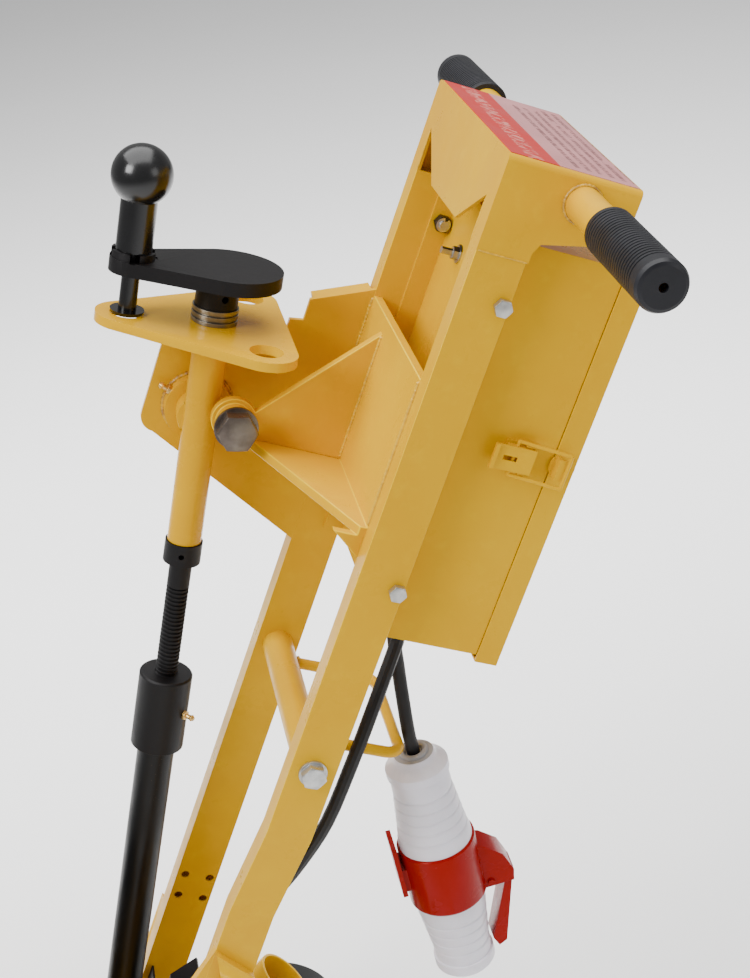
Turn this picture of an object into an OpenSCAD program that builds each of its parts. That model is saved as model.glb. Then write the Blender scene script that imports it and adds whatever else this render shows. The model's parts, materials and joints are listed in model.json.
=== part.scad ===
/* [Handle] */
// Lean of the handle from upright, in degrees
lean = 27; // [22:1:29]
// Height of the head's front top edge above the floor
head_z = 1090; // [1085:1:1095]
// Width across the two legs and the head
head_w = 230; // [224:1:240]
// Depth of the head cap, front to rear
head_d = 108; // [100:1:120]
// Thickness of the folded head sheet
sheet_t = 3; // [2:0.5:4]
// Depth of a leg tube, front to rear
leg_d = 40; // [40:1:44]
// Width of a leg tube
leg_w = 20; // [20:1:22]
// Wall of a leg tube
leg_wall = 2; // [1.5:0.5:3]
// How far the near leg steps inward
leg_jog = 22; // [18:1:24]
// Outer diameter of the handlebar
bar_d = 28; // [26:1:30]

/* [Grips] */
// Outer diameter of a grip
grip_d = 38; // [36:1:42]
// Length of a grip
grip_l = 115; // [100:1:130]
// Bare handlebar between the head and a grip
grip_gap = 66; // [60:1:80]
// Number of ribs on a grip
grip_ribs = 23; // [12:1:26]

/* [Control box] */
// Width of the control box
box_w = 190; // [186:1:194]
// Sheet thickness of the box and lid
box_t = 2; // [1.5:0.5:2.5]
// Distance of the box's lower edge below the head's top
box_bottom = 409; // [400:1:420]
// Depth of the lid pan
lid_d = 19.5; // [16:0.5:22]
// Opening angle of the lid that the hinge allows, in degrees
lid_open = 110; // [90:5:120]

/* [Jack] */
// Lean of the jack column against the legs, in degrees
jack_lean = 9; // [8:0.5:10]
// Sideways place of the jack column
jack_y = 65; // [62:1:66]
// Outer diameter of the yellow jack tube
jack_tube_d = 30; // [28:1:32]
// Diameter of the threaded rod
screw_d = 20; // [18:1:22]
// Radius of the circle of index holes
index_r = 72; // [70:1:74]
// Diameter of an index hole
index_hole_d = 28; // [24:1:30]
// Diameter of the crank's ball
ball_d = 50; // [44:1:54]
// Diameter of the round nut housing
nut_d = 48; // [44:1:50]
// Diameter of the black lower tube
lower_tube_d = 34; // [32:1:36]

/* [Lower body] */
// Width of the deck over its side plates
deck_w = 300; // [290:1:310]
// Thickness of the deck and side plates
plate_t = 8; // [6:1:10]
// Diameter of the cutting drum over its cutters
drum_d = 150; // [144:1:152]
// Gap between the drum and the floor when the jack is wound up
drum_gap = 10; // [8:1:14]
// Diameter of a wheel
wheel_d = 150; // [150:1:150]
// Diameter of the motor frame
motor_d = 190; // [180:1:196]
// Outer diameter of the dust pipe
pipe_d = 60; // [56:1:62]

/* [Hidden] */
$fn = 48;
e = 0.01;
run_fit = 0.1;
// round ends are this much smaller than the straight sides that they meet
inset = 0.02;
yellow = "gold";

// handle frame: x to the rear of the legs' front faces, y across, z up the legs from the head's top
head_x = 374;
leg_end = 1010;
leg_top = 74;
half_w = head_w / 2;
jog_top = 600;
jog_end = 700;
bar_s = 21;
bar_x = 66;
grip_in = half_w + grip_gap;
grip_out = grip_in + grip_l;
channel_x = 45;
channel_top = 62;
flange_x = 24.5;
box_top = 64;
box_x = 45;
seam_x = 126.5;
half_box = box_w / 2;
lid_gap = 0.5;
lid_x = seam_x + lid_gap;
lid_over = 1.5;
lid_top = 60;
lid_bottom = box_bottom + 6;
hinge_y = half_box + 6;
hinge_x = seam_x - 1;
knuckle_d = 8;
hinge_pin_d = 4;
hinge_spots = [110, 340];
button_spots = [150, 205];
button_d = 22;
bolt_s = [111, 358];
bolt_x = 34.5;
tube_s = 535;
tube_x = 20;
tube_d = 28;
hook_s = 532;
hook_x = 108;
hook_d = 10;
hook_near_y = -67;
hook_far_y = 60;
hook_r = 16;

// jack frame: z up the column from the trunnion axis
trunnion_s = 321;
trunnion_x = -119;
trunnion_d = 40;
index_z = 88;
index_t = 8;
bearing_h = 14;
hub_h = 22;
arm_t = 12;
arm_z = index_z + bearing_h + hub_h;
ball_z = 204;
tube_bottom = -116;
collar_h = 20;
screw_plain = -161;
nut_top = -250;
nut_h = 75;
fork_z = -687;
fork_pin_d = 14;
screw_turns = 6;
screw_pitch = 4;
jack_travel = screw_turns * screw_pitch;
steady_s = 305;
steady_x = -98;
steady_d = 20;

// lower body, in the floor frame
deck_front = -471;
deck_rear = -66;
deck_top = 176;
half_deck = deck_w / 2;
drum_x = -250;
drum_z = drum_gap + drum_d / 2;
drum_l = 230;
cutter_d = 46;
cutter_shaft_r = (drum_d - cutter_d) / 2;
// the skids reach as far forward as the lid reaches back, which centres the machine on x = 0
skid_front = -(head_x - lid_top * sin(lean) + (lid_x + lid_d) * cos(lean));
swing_x = -22;
swing_z = 181;
swing_tube_d = 34;
axle_x = 64;
axle_z = wheel_d / 2;
axle_d = 20;
wheel_w = 38;
wheel_y = half_deck + 12;
motor_x = -340;
motor_z = deck_top + 14 + motor_d / 2;
motor_l = 230;
belt_y = -half_deck - 22;
belt_w = 18;
drum_pulley_r = 42;
motor_pulley_r = 56;
pipe_end = [91, -40, 330];
pipe_start = [-112, -40, 176];
pipe_wall = 2.5;
cable_d = 12;

// Routes of the two cables, in the handle frame as rear, across, up the legs
motor_route = [[70, -55, -413], [72, -56, -432], [69, -65, -456], [65, -76, -490], [62, -83, -532],
  [59, -84, -600], [52, -74, -655], [44, -65, -695], [37, -62, -730], [30, -58, -775], [14, -58, -812],
  [-18, -56, -838], [-65, -52, -856], [-125, -46, -872], [-190, -38, -890], [-240, -32, -914],
  [-265, -30, -926]];
pigtail_route = [[72, -24, -413], [77, -25, -436], [92, -29, -470], [105, -35, -498], [119, -40, -526.4],
  [129, -40, -543]];
// the plug hangs on the pigtail's end, a little off plumb
plug_lean = 4;
plug_l = 245;

// A place in the handle frame, taken to the floor frame
function to_floor(p) = [head_x + p[0] * cos(lean) + p[2] * sin(lean), p[1],
  head_z - p[0] * sin(lean) + p[2] * cos(lean)];

module on_handle() {
  translate([head_x, 0, head_z]) rotate([0, lean, 0]) children();
}

// A place on the handle: s down the legs, y across, x to the rear
module at(s, y, x) {
  translate([x, y, -s]) children();
}

module on_jack() {
  on_handle() at(trunnion_s, jack_y, trunnion_x) rotate([0, -jack_lean, 0]) children();
}

// An outline drawn in (y, z), extruded to the rear from x
module slab_x(x, t) {
  translate([x, 0, 0]) rotate([90, 0, 90]) linear_extrude(t) children();
}

// An outline drawn in (x, z), extruded towards +y from y
module slab_y(y, t) {
  translate([0, y + t, 0]) rotate([90, 0, 0]) linear_extrude(t) children();
}

// A cylinder along y from y to y + l
module rod_y(y, l, d) {
  translate([0, y, 0]) rotate([-90, 0, 0]) cylinder(h = l, d = d);
}

// A tube along y
module ring_y(y, l, d, bore) {
  difference() {
    rod_y(y, l, d);
    rod_y(y - 1, l + 2, bore);
  }
}

module box_at(a, b) {
  translate(a) cube(b - a);
}

// Outline of a link with round ends, radius r1 at the origin and r2 at distance d along +x
// Points on an arc about c
function arc(r, start, end, c = [0, 0]) = [for (a = [start:(end - start) / 24:end]) c + r * [cos(a), sin(a)]];

// The line of a belt round two pulleys, in short straight runs
module belt_outline(r1, r2, d) {
  a = acos((r1 - r2) / d);
  polygon(concat(arc(r1, a, 360 - a), arc(r2, -a, a, [d, 0])));
}

module link_outline(r1, r2, d) {
  a = acos((r1 - r2) / d);
  up = [cos(a), sin(a)];
  down = [cos(a), -sin(a)];
  circle(r1 - inset);
  translate([d, 0]) circle(r2 - inset);
  polygon([r1 * up, [d, 0] + r2 * up, [d, 0] + r2 * down, r1 * down]);
}

// Hexagonal head with a turned chamfer, its seat at z = 0
module hex_head(af, h) {
  intersection() {
    cylinder(h = h, d = af / cos(30), $fn = 6);
    union() {
      cylinder(h = h - af * 0.04, d = af * 1.16);
      translate([0, 0, h - af * 0.04]) cylinder(h = af * 0.04, d1 = af * 1.16, d2 = af * 0.96);
    }
  }
}

// Bolt along -z with its head on top and its seat at z = 0
module hex_bolt(d, af, head_h, l, washer_d, washer_t) {
  translate([0, 0, washer_t]) hex_head(af, head_h);
  cylinder(h = washer_t, d = washer_d);
  translate([0, 0, -l]) cylinder(h = l + e, d = d);
}

module nut(d, af, h) {
  difference() {
    hex_head(af, h);
    translate([0, 0, -1]) cylinder(h = h + 2, d = d);
  }
}

// ---- handle ----

function leg_path(out, in_, jog) = [
  [out, -leg_top], [out, -jog_top], [out + jog, -jog_end], [out + jog, -leg_end],
  [in_ + jog, -leg_end], [in_ + jog, -jog_end], [in_, -jog_top], [in_, -leg_top]];

module leg_tube(out, side, jog) {
  in_ = out + side * leg_w;
  difference() {
    slab_x(0, leg_d) polygon(leg_path(out, in_, jog));
    slab_x(leg_wall, leg_d - 2 * leg_wall)
      polygon([for (p = leg_path(out + side * leg_wall, in_ - side * leg_wall, jog))
        [p[0], p[1] == -leg_top ? 1 - leg_top : p[1] == -leg_end ? -leg_end - 1 : p[1]]]);
    for (s = bolt_s) at(s, 0, bolt_x) rod_y(out - 30, 60, 8 + run_fit);
    at(tube_s, 0, tube_x) rod_y(out - 30, 60, 12 + run_fit);
  }
}

module leg_near() {
  color(yellow) on_handle() leg_tube(-half_w, 1, leg_jog);
}

// Four holes in a square for fixing the far leg's lug
module leg_far() {
  color(yellow) on_handle() difference() {
    leg_tube(half_w, -1, 0);
    for (ds = [-12.5, 12.5]) for (dx = [-12.5, 12.5]) at(816.5 + ds, 0, 20.5 + dx) rod_y(half_w - 25, 30, 8);
  }
}

// Head section with round upper corners, set in by t all round
module head_outline(t, drop) {
  r = 5 - t;
  side = half_w - t;
  polygon(concat(arc(r, 0, 90, [side - r, -5]), arc(r, 90, 180, [r - side, -5]),
    [[-side, -drop], [side, -drop]]));
}

module head_cap() {
  leg_in = half_w - leg_w;
  color(yellow) on_handle() difference() {
    slab_x(0, head_d) head_outline(0, leg_top);
    slab_x(sheet_t, head_d) head_outline(sheet_t, leg_top + 1);
    // the apron between the legs
    slab_x(-1, sheet_t + 2) polygon([[-leg_in, -37], [-42, -72], [42, -72], [leg_in, -37],
      [leg_in, -leg_top - 1], [-leg_in, -leg_top - 1]]);
    // the side plates rise behind the legs
    slab_y(-half_w - 1, head_w + 2) polygon([[42, -leg_top - 1], [42, -66], [46, -58], [82, -50],
      [head_d + 1, -44], [head_d + 1, -leg_top - 1]]);
    at(bar_s, 0, bar_x) rod_y(-half_w - 1, head_w + 2, bar_d + run_fit);
  }
}

module head_panel() {
  color("mistyrose") on_handle() slab_x(2, head_d - 4)
    polygon([[-109, 0], [109, 0], [109, 0.5], [-109, 0.5]]);
}

module handlebar() {
  color(yellow) on_handle() at(bar_s, 0, bar_x) ring_y(4 - grip_out, 2 * grip_out - 8, bar_d, bar_d - 5);
}

// Half section of a ribbed grip, from the inner end at z = 0
module grip_section() {
  rib_start = 3;
  rib_end = grip_l - 14;
  pitch = (rib_end - rib_start) / grip_ribs;
  ri = bar_d / 2 + 0.05;
  ro = grip_d / 2;
  cut = 0.9;
  ribs = [for (i = [0:grip_ribs - 1], k = [0:3])
    [k == 1 || k == 2 ? ro - cut : ro, rib_start + (i + [0.62, 0.7, 0.92, 1][k]) * pitch]];
  polygon(concat([[ri, 0], [ro - 1, 0], [ro, 1]], ribs,
    [[ro, grip_l - 4], [ro - 1.5, grip_l - 1], [ro - 4, grip_l], [3.5, grip_l], [3.5, grip_l - 4], [ri, grip_l - 4]]));
}

module grip(side) {
  color("dimgray") on_handle() at(bar_s, side * grip_in, bar_x)
    rotate([side * -90, 0, 0]) rotate_extrude() grip_section();
}

module box_channel() {
  flange_y = half_w - leg_w;
  color(yellow) on_handle() difference() {
    union() {
      for (y = [-flange_y, flange_y - sheet_t])
        box_at([flange_x, y, -box_bottom], [channel_x, y + sheet_t, -channel_top - 12]);
      box_at([channel_x - sheet_t, -flange_y, -box_bottom], [channel_x, flange_y, -channel_top - 12]);
    }
    for (s = bolt_s) at(s, 0, bolt_x) rod_y(-half_w, head_w, 8 + run_fit);
    at(121, 43, 0) rotate([0, 90, 0]) cylinder(h = 60, d = 6 + run_fit);
  }
}

module handle_bolts() {
  color("silver") on_handle() {
    for (s = bolt_s) for (side = [-1, 1])
      at(s, side * half_w, bolt_x) rotate([side * -90, 0, 0]) hex_bolt(8, 13, 5.3, 34, 9, 0.4);
    at(121, 43, channel_x - sheet_t) rotate([0, -90, 0]) hex_bolt(6, 10, 5, 8, 16, 1.4);
    at(121, 43, channel_x - sheet_t - 16) rotate([0, 90, 0]) cylinder(h = 12, d = 6);
    for (side = [-1, 1])
      at(tube_s, side * half_w, tube_x) rotate([side * -90, 0, 0]) hex_bolt(12, 19, 7.5, 50, 24, 2.5);
  }
  color("black") on_handle() for (s = bolt_s) for (side = [-1, 1])
    at(s, side * (half_w - leg_w - sheet_t), bolt_x) rotate([side * 90, 0, 0]) nut(8, 13, 8);
}

module cross_tube() {
  color(yellow) on_handle() at(tube_s, 0, tube_x)
    ring_y(leg_w - half_w, head_w - 2 * leg_w, tube_d, 12 + run_fit);
}

// Rod bent to a U, welded behind the cross tube
module cable_hook() {
  start = tube_x + tube_d / 2 - 4;
  color(yellow) on_handle() at(hook_s, 0, 0) {
    // the rod's ends are shaped to the tube that they are welded to
    difference() {
      for (y = [hook_near_y, hook_far_y])
        translate([start, y, 0]) rotate([0, 90, 0]) cylinder(h = hook_x - hook_r - start, d = hook_d);
      at(tube_s - hook_s, 0, tube_x) rod_y(hook_near_y - hook_d, hook_far_y - hook_near_y + 2 * hook_d, tube_d);
    }
    translate([hook_x, 0, 0]) rod_y(hook_near_y + hook_r, hook_far_y - hook_near_y - 2 * hook_r, hook_d);
    translate([hook_x - hook_r, hook_far_y - hook_r, 0]) rotate_extrude(angle = 90) translate([hook_r, 0])
      circle(d = hook_d);
    translate([hook_x - hook_r, hook_near_y + hook_r, 0]) rotate([0, 0, -90]) rotate_extrude(angle = 90)
      translate([hook_r, 0]) circle(d = hook_d);
  }
}

// ---- jack bracket ----

module bracket_far_plate() {
  tip_r = 14;
  left = -163;
  t = 5;
  slope = atan2(28, 64);
  notch_x = -52;
  y0 = half_w - leg_w;
  color(yellow) on_handle() {
    difference() {
      slab_y(y0, t) {
        // the notch lets the plunger's ring pass as the crank turns
        polygon([[0, -183], [notch_x, -183 + notch_x * tan(slope)], [notch_x, -225], [-64, -227], [-64, -240],
          [left, -256], [left, -341], [left + 5, -350.9], [0, -427]]);
        translate([left + tip_r, -341]) circle(tip_r - inset);
      }
      at(trunnion_s, 0, trunnion_x) rod_y(y0 - t, 3 * t, trunnion_d + run_fit);
    }
    // top edge folded outwards to the leg's outer face
    translate([0, y0 + t - e, -183]) rotate([0, -slope, 0])
      box_at([(notch_x + 3) / cos(slope), 0, -t], [-t * tan(slope) - 1, leg_w - t + e, 0]);
  }
}

// Plate between the legs, with the floor plate and the small rib under it
module bracket_web() {
  inner = half_w - leg_w;
  color(yellow) on_handle() {
    box_at([0, -inner, -318], [plate_t, inner, -188]);
    translate([0, 0, -326]) linear_extrude(plate_t)
      polygon([[-80, 35], [-80, 43], [0, 43], [plate_t, 43], [plate_t, -inner], [-6, -inner]]);
    slab_y(-inner, plate_t) polygon([[0, -326], [-26, -326], [0, -345]]);
  }
}

module bracket_gusset() {
  color(yellow) on_handle() {
    difference() {
      slab_y(jack_y - 30, plate_t) {
        polygon([[0, -201], [-86, -298], [steady_x, -305 - 19], [-88, -318], [0, -318]]);
        translate([steady_x, -steady_s]) circle(19);
      }
      at(steady_s, 0, steady_x) rod_y(0, 80, steady_d + run_fit);
    }
    at(steady_s, 0, steady_x) ring_y(jack_y - 45, 15 + e, 30, steady_d + run_fit);
  }
}

// Grease nipple pointing along +z
module nipple() {
  cylinder(h = 3, d = 8 / cos(30), $fn = 6);
  translate([0, 0, 3]) cylinder(h = 4, d = 4.4);
  translate([0, 0, 7]) cylinder(h = 1.5, d1 = 4.4, d2 = 6.4);
  translate([0, 0, 8.5]) cylinder(h = 2.5, d1 = 6.4, d2 = 3);
}

module trunnion_boss() {
  boss_l = 13;
  y0 = half_w - leg_w - boss_l;
  color(yellow) on_handle() at(trunnion_s, 0, trunnion_x) ring_y(y0, boss_l, 58, trunnion_d + run_fit);
  color("goldenrod") on_handle() at(trunnion_s, y0 + boss_l / 2, trunnion_x)
    rotate([0, -72, 0]) translate([0, 0, 28.8]) nipple();
}

module steady_bolt() {
  y0 = jack_y - 45;
  color("silver") on_handle() at(steady_s, y0, steady_x)
    rotate([90, 0, 0]) rotate([0, 0, 14]) hex_bolt(steady_d, 30, 12.5, 30.7, 37, 3);
  color(yellow) on_handle() at(steady_s, jack_y - 30 + plate_t, steady_x)
    rotate([-90, 0, 0]) rotate([0, 0, 30]) nut(steady_d, 28, 7.5);
}

// ---- control box ----

module box_body() {
  color(yellow) on_handle() difference() {
    box_at([box_x, -half_box, -box_bottom], [seam_x, half_box, -box_top]);
    box_at([box_x + box_t, box_t - half_box, box_t - box_bottom], [seam_x + 1, half_box - box_t, -box_top - box_t]);
    for (r = [motor_route[0], pigtail_route[0]])
      translate([r[0], r[1], -box_bottom - 1]) cylinder(h = 6, d = 20 + run_fit);
    at(121, 43, 0) rotate([0, 90, 0]) cylinder(h = 60, d = 6 + run_fit);
  }
  color(yellow) on_handle() for (s = hinge_spots) {
    box_at([hinge_x - 12, half_box - e, -s - 20], [hinge_x - 2, half_box + 3, -s]);
    at(s + 20, hinge_y, hinge_x) hinge_leaf(-1);
  }
}

// One knuckle with its web, above its origin
module hinge_leaf(side) {
  difference() {
    union() {
      cylinder(h = 19.7, d = knuckle_d);
      box_at([side < 0 ? -9 : 2, -knuckle_d / 2 - 2, 0], [side < 0 ? 0 : 9, 0, 19.7]);
    }
    translate([0, 0, -1]) cylinder(h = 22, d = hinge_pin_d + run_fit);
  }
}

module box_gear() {
  color("lightgray") on_handle() box_at([box_x + box_t, -80, -380], [box_x + box_t + 3, 80, -135]);
  color("dimgray") on_handle() {
    for (i = [0:2]) box_at([box_x + 5, -60 + 44 * i, -230], [box_x + 50, -22 + 44 * i, -150]);
    for (i = [0:5]) box_at([box_x + 5, -60 + 20 * i, -340], [box_x + 35, -43 + 20 * i, -290]);
  }
}

module glands() {
  color("dimgray") on_handle() for (r = [motor_route[0], pigtail_route[0]])
    translate([r[0], r[1], -box_bottom]) difference() {
      union() {
        translate([0, 0, -4]) cylinder(h = 4, d = 24 / cos(30), $fn = 6);
        translate([0, 0, -e]) cylinder(h = 8, d = 20);
        translate([0, 0, box_t]) cylinder(h = 5, d = 24 / cos(30), $fn = 6);
      }
      translate([0, 0, -5]) cylinder(h = 20, d = cable_d + run_fit);
    }
}

module lid_hinge_pin() {
  color("silver") on_handle() for (s = hinge_spots)
    at(s + 21, hinge_y, hinge_x) cylinder(h = 42, d = hinge_pin_d);
}

module box_lid() {
  y1 = half_box + lid_over;
  color(yellow) on_handle() {
    difference() {
      box_at([lid_x, -y1, -lid_bottom], [lid_x + lid_d, y1, -lid_top]);
      box_at([lid_x - 1, box_t - y1, box_t - lid_bottom], [lid_x + lid_d - box_t, y1 - box_t, -lid_top - box_t]);
      for (s = button_spots) at(s, 0, lid_x) rotate([0, 90, 0]) cylinder(h = 40, d = button_d + 2 * run_fit);
    }
    for (s = hinge_spots) {
      box_at([lid_x + 1, y1 - e, -s], [lid_x + 9, y1 + 2, -s + 20]);
      at(s - 0.3, hinge_y, hinge_x) hinge_leaf(1);
    }
  }
}

// Push button through the lid, its cap proud of the lid's rear face
module button(s, cap_d, cap_h) {
  on_handle() at(s, 0, lid_x + lid_d) rotate([0, 90, 0]) {
    translate([0, 0, 4.5]) cylinder(h = cap_h, d = cap_d);
    translate([0, 0, -12]) cylinder(h = 17, d = button_d);
    translate([0, 0, -15]) cylinder(h = 3 + e, d = button_d + 4);
  }
}

module start_button() {
  color("green") button(button_spots[0], 28, 5);
}

module stop_button() {
  color("red") button(button_spots[1], 38, 9);
}

// ---- latch on the near side of the box ----

latch_s = 230;
latch_y = -half_box;
latch_w = 22;
lever_pivot_x = 104;
lever_pivot_out = 5.5;
bail_x = 92;
bail_out = 6.5;
keeper_x = 134;
wire_d = 3;

module latch_base() {
  color(yellow) on_handle() difference() {
    union() {
      box_at([84, latch_y - 1.5, -latch_s - 12.8], [112, latch_y, 12.8 - latch_s]);
      for (z = [-12.8, 11.3])
        translate([lever_pivot_x - 5, 0, z - latch_s]) box_at([0, latch_y - 8, 0], [10, latch_y, 1.5]);
    }
    translate([lever_pivot_x, latch_y - lever_pivot_out, -latch_s - 20]) cylinder(h = 40, d = 3 + run_fit);
  }
}

module latch_lever() {
  color(yellow) on_handle() {
    difference() {
      union() {
        box_at([76, latch_y - 10.5, -latch_s - 10.5], [lever_pivot_x + 4, latch_y - 9, 10.5 - latch_s]);
        for (z = [-10.5, 9]) box_at([84, latch_y - 10, z - latch_s], [lever_pivot_x + 3, latch_y - 3.5, z + 1.5 - latch_s]);
        box_at([73, latch_y - 13, -latch_s - 10.5], [76 + e, latch_y - 9, 10.5 - latch_s]);
      }
      box_at([82, latch_y - 12, -latch_s - 2], [94, latch_y - 8, 2 - latch_s]);
      translate([bail_x, latch_y - bail_out, -latch_s - 20]) cylinder(h = 40, d = wire_d + 2 * run_fit);
    }
    translate([lever_pivot_x, latch_y - lever_pivot_out, -latch_s - 14]) cylinder(h = 28, d = 3);
  }
}

// Wire loop from the lever round the keeper's lip
module latch_bail() {
  out = 14.2;
  color(yellow) on_handle() {
    for (z = [-14.5, 14.5]) {
      translate([bail_x, latch_y - bail_out, z - latch_s]) sphere(d = wire_d);
      translate([bail_x, latch_y - bail_out, z - latch_s]) rotate([0, 90, -10]) cylinder(h = 44.1, d = wire_d);
    }
    translate([bail_x, latch_y - bail_out, -14.5 - latch_s]) cylinder(h = 29, d = wire_d);
    translate([bail_x + 43.4, latch_y - out, -14.5 - latch_s]) cylinder(h = 29, d = wire_d);
  }
}

module lid_keeper() {
  y0 = -half_box - lid_over;
  color(yellow) on_handle() {
    slab_y(y0 - 1.5, 1.5) {
      translate([keeper_x + 1, -latch_s]) circle(11);
      polygon([[128, -latch_s - 9], [keeper_x, -latch_s - 11], [keeper_x, 11 - latch_s], [128, 9 - latch_s]]);
    }
    box_at([keeper_x - 6, y0 - 9, -latch_s - 9], [keeper_x - 4.5, y0 - 1, 9 - latch_s]);
    box_at([keeper_x - 6, y0 - 10.5, -latch_s - 9], [keeper_x, y0 - 9 + e, 9 - latch_s]);
  }
}

// ---- jack ----

module jack_tube() {
  plate_out = half_w - leg_w + 5 - jack_y;
  color(yellow) on_jack() difference() {
    union() {
      translate([0, 0, tube_bottom]) cylinder(h = index_z - index_t - tube_bottom, d = jack_tube_d);
      rod_y(0, plate_out + 5, trunnion_d);
    }
    translate([0, 0, tube_bottom - 1]) cylinder(h = 300, d = screw_d + run_fit);
  }
  color("silver") on_jack() ring_y(plate_out + 1, 3, 50, trunnion_d - e);
}

module index_plate() {
  corner_r = 26;
  spots = [60, 180, 300];
  color(yellow) on_jack() translate([0, 0, index_z - index_t]) linear_extrude(index_t) difference() {
    union() {
      for (a = spots) translate(index_r * [cos(a), sin(a)]) circle(corner_r - inset);
      polygon([for (a = spots, k = [-60, 60])
        index_r * [cos(a), sin(a)] + corner_r * [cos(a + k), sin(a + k)]]);
    }
    for (a = spots) translate(index_r * [cos(a), sin(a)]) circle(d = index_hole_d);
    circle(d = screw_d + run_fit);
  }
}

module jack_collar() {
  color("black") on_jack() translate([0, 0, tube_bottom - collar_h]) difference() {
    cylinder(h = collar_h, d = jack_tube_d + 3);
    translate([0, 0, -1]) cylinder(h = collar_h + 2, d = screw_d + run_fit);
    translate([0, 0, collar_h / 2]) rotate([0, 90, -100]) cylinder(h = 20, d = 5);
  }
}

module thrust_bearing() {
  color("silver") on_jack() translate([0, 0, index_z]) difference() {
    union() {
      for (z = [0, 5, 10]) translate([0, 0, z]) cylinder(h = 3.6, d = 39);
      cylinder(h = bearing_h - 0.4, d = 35);
    }
    translate([0, 0, -1]) cylinder(h = bearing_h + 2, d = screw_d + run_fit);
  }
}

module crank() {
  big_r = 43;
  small_r = 19;
  pin_bore = 15 + run_fit;
  color("dimgray") on_jack() difference() {
    union() {
      translate([0, 0, index_z + bearing_h]) cylinder(h = hub_h + e, d = 36);
      translate([9, 0, arm_z]) rotate([0, 0, 180]) linear_extrude(arm_t) link_outline(big_r, small_r, index_r + 9);
      translate([-index_r, 0, arm_z + arm_t - e]) cylinder(h = 6, d = 36);
    }
    translate([0, 0, index_z]) cylinder(h = bearing_h + hub_h + arm_t - 2, d = screw_d);
    translate([-index_r, 0, arm_z - 1]) cylinder(h = arm_t + 20, d = pin_bore);
    translate([-index_r, 0, arm_z + arm_t + 3]) for (a = [0, 90]) rotate([0, 0, a]) cube([40, 8, 8], center = true);
    translate([0, 0, index_z + bearing_h + 10]) rotate([0, 90, -75]) cylinder(h = 30, d = 6);
  }
}

// Pull-up handle: ball, sleeve, pin and locating ring
module plunger() {
  foot_z = arm_z + arm_t + 6.3;
  tip_z = index_z + 0.3;
  ball_cut = sqrt(pow(ball_d / 2, 2) - 225);
  color("dimgray") on_jack() translate([-index_r, 0, 0]) {
    translate([0, 0, ball_z]) intersection() {
      sphere(d = ball_d);
      translate([0, 0, -ball_cut]) cylinder(h = ball_d, d = ball_d + 2);
    }
    translate([0, 0, foot_z]) cylinder(h = ball_z - ball_cut - foot_z + e, d = 30);
    translate([0, 0, tip_z]) cylinder(h = foot_z - tip_z + e, d = 15);
    translate([0, 0, tip_z]) cylinder(h = 3, d1 = 27, d2 = 28.5);
  }
}

// Threaded rod, drawn with rings at the pitch where the thread shows
module jack_screw() {
  top = index_z + bearing_h + hub_h + arm_t - 3;
  rod_end = nut_top - nut_h - 30;
  core_d = screw_d - 3;
  rings = floor((screw_plain - nut_top + jack_travel + 10) / screw_pitch);
  color("dimgray") on_jack() {
    translate([0, 0, screw_plain]) cylinder(h = top - screw_plain, d = screw_d);
    translate([0, 0, rod_end]) cylinder(h = screw_plain - rod_end + e, d = core_d);
    translate([0, 0, screw_plain - rings * screw_pitch]) rotate_extrude()
      polygon(concat([[0, 0]], [for (i = [0:rings - 1], k = [0:3])
        [k == 1 || k == 2 ? screw_d / 2 : core_d / 2, (i + [0.1, 0.3, 0.6, 0.8][k]) * screw_pitch]],
        [[0, rings * screw_pitch]]));
  }
}

module jack_nut() {
  color("dimgray") on_jack() translate([0, 0, nut_top - nut_h]) difference() {
    union() {
      cylinder(h = nut_h - 1.5, d = nut_d);
      translate([0, 0, nut_h - 1.5]) cylinder(h = 1.5, d1 = nut_d, d2 = nut_d - 3);
    }
    translate([0, 0, -1]) cylinder(h = nut_h + 2, d = screw_d + 2 * run_fit);
  }
  color("goldenrod") on_jack() translate([0, 0, nut_top - 36]) rotate([0, 90, -38])
    translate([0, 0, nut_d / 2 - 0.2]) nipple();
}

module lower_tube() {
  top = nut_top - nut_h;
  fork_l = 46;
  tube_end = fork_z + fork_l - 12;
  color("dimgray") on_jack() {
    difference() {
      translate([0, 0, tube_end]) cylinder(h = top - tube_end, d = lower_tube_d);
      translate([0, 0, tube_end + 6]) cylinder(h = top - tube_end, d = lower_tube_d - 7);
    }
    difference() {
      union() {
        translate([0, 0, tube_end - 8]) cylinder(h = 8 + e, d = 36);
        for (y = [-18, 8]) translate([-14, y, fork_z]) cube([28, 10, tube_end - fork_z]);
        for (y = [-18, 8]) translate([0, 0, fork_z]) rod_y(y, 10, 28);
      }
      translate([0, 0, fork_z]) rod_y(-30, 60, fork_pin_d - e);
    }
  }
  color("silver") on_jack() translate([0, 0, fork_z]) rod_y(-20, 40, fork_pin_d);
}

// ---- lower body ----

module lugs() {
  // near side: a cheek outside the leg and a web in front of it
  web_y = -half_w + leg_jog;
  color(yellow) on_handle() {
    slab_y(web_y - plate_t, plate_t) polygon([[0, -743], [13, -772], [13, -1000], [leg_d, -1000], [leg_d, -761]]);
    slab_y(web_y, plate_t) polygon([[0, -743], [-9, -778], [-60, -950], [-60, -965], [0, -985]]);
    slab_y(half_w, plate_t) polygon([[0, -850], [leg_d, -870], [leg_d, -1000], [0, -985]]);
  }
  // a foot under each cheek stands on the deck
  color(yellow) {
    box_at([deck_rear - 60, web_y - plate_t, deck_top], [deck_rear, web_y, deck_top + 40]);
    box_at([deck_rear - 60, half_w, deck_top], [deck_rear, half_w + plate_t, deck_top + 40]);
  }
}

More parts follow.
